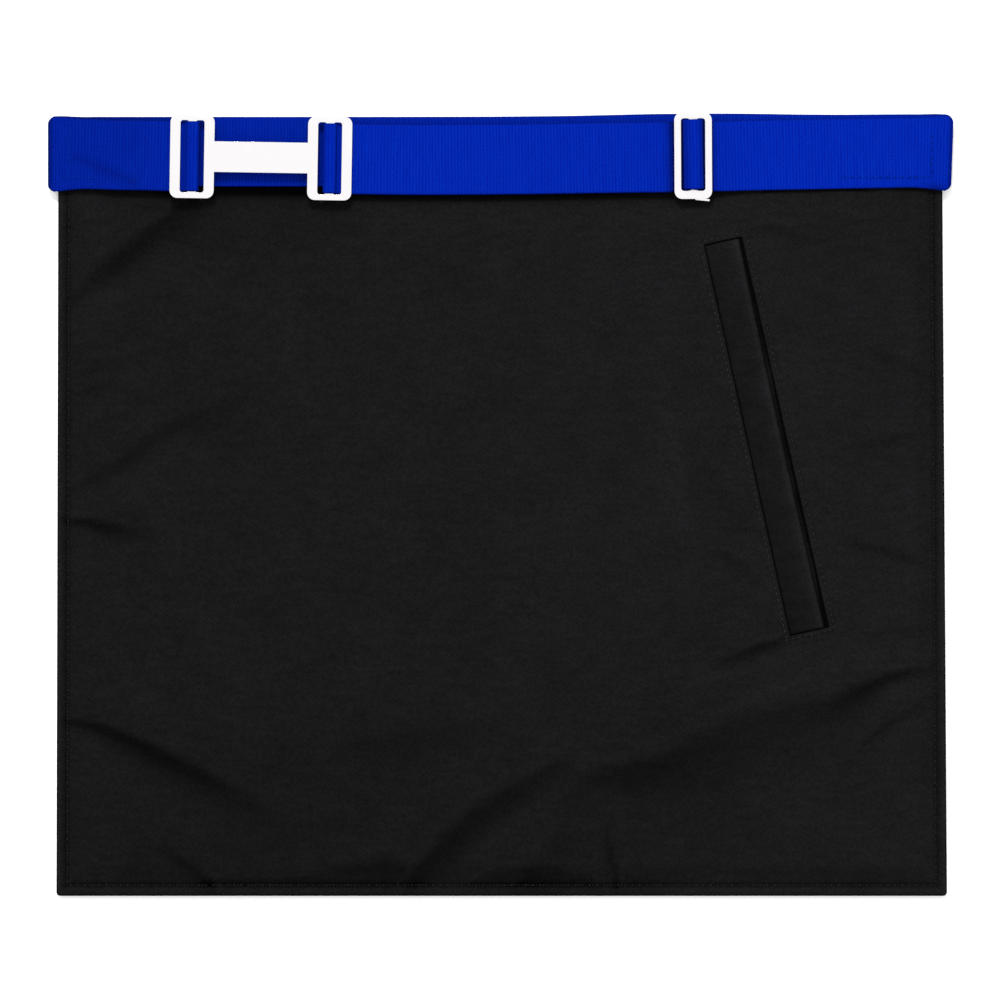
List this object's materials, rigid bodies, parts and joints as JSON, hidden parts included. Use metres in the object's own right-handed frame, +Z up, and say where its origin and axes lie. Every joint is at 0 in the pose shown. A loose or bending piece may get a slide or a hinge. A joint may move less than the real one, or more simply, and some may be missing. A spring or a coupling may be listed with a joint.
{
  "type": "masonic apron",
  "caption": "Lodge apron lying face down, black lining with a slanted welt pocket up, blue webbing belt folded over its back with a metal slide and clasp.",
  "frame": {"origin": "middle of the part's box, on the surface that it lies on", "axes": "+X across the waist to the wearer's right hand as seen from behind, +Y from the hem to the belt, +Z up from the surface, out of the apron's back"},
  "size_m": [0.4154, 0.3602, 0.0124],
  "materials": {
    "lining_cloth": "matt black twill, woven polyester and cotton",
    "front_cloth": "plain black grosgrain",
    "webbing": "royal blue woven polyester webbing with fine cross ribs",
    "nickel": "polished nickel plate on steel"
  },
  "bodies": {
    "root": {"front_panel": "front_cloth", "pocket_bag": "lining_cloth", "lining": "lining_cloth", "pocket_welt": "lining_cloth", "belt_webbing": "webbing", "slide_adjuster": "nickel", "clasp": "nickel"}
  },
  "joints": []
}
